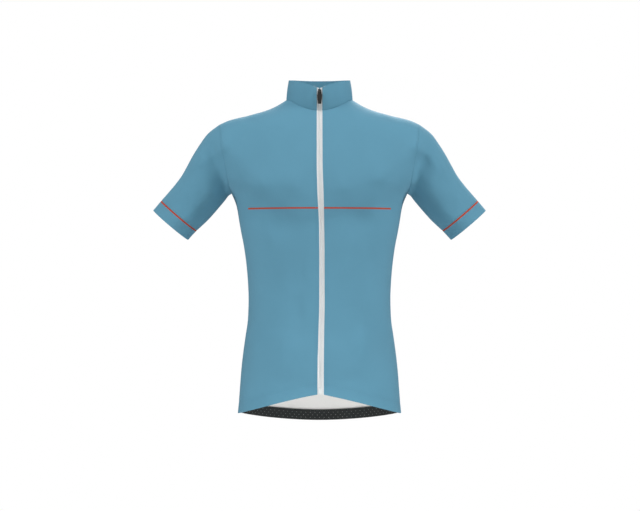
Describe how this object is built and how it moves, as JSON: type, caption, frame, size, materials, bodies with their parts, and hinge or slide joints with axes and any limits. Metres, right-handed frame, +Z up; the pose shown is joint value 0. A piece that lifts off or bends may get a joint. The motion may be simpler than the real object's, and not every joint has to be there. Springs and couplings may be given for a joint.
{
  "type": "cycling jersey",
  "caption": "Short-sleeved, close-fitting cycling jersey in the form it has when worn, with stand collar, full-length front zip, dropped back hem and rear pockets.",
  "frame": {"origin": "midway between the two points where the collar seam crosses the shoulder seams, where the wearer's shoulders and neck hold the jersey", "axes": "+Z up along the wearer's body, -Y out of the chest, +X towards the wearer's left arm"},
  "size_m": [0.631, 0.2395, 0.6645],
  "materials": {
    "jersey_knit": "smooth fine polyester knit with a faint sheen",
    "zip_tape": "matt woven tape",
    "gripper_elastic": "matt elastic with silicone dots",
    "zip_metal": "black painted",
    "pull_tab": "satin black moulded rubber"
  },
  "bodies": {
    "jersey": {"front_left": "jersey_knit", "front_right": "jersey_knit", "back": "jersey_knit", "sleeve_left": "jersey_knit", "sleeve_right": "jersey_knit", "cuff_left": "jersey_knit", "cuff_right": "jersey_knit", "collar": "jersey_knit", "pocket_panel": "jersey_knit", "hem_gripper": "gripper_elastic", "zip_tape_left": "zip_tape", "zip_tape_right": "zip_tape", "zip_slider": "zip_metal"},
    "pull_tab": {"zip_pull": "pull_tab"}
  },
  "joints": [
    {"name": "pull_hinge", "type": "hinge", "parent": "jersey", "child": "pull_tab", "pos_m": [0.0002, -0.06622, 0.0085], "axis": [-1, 0, 0], "range_deg": [0, 150]}
  ]
}
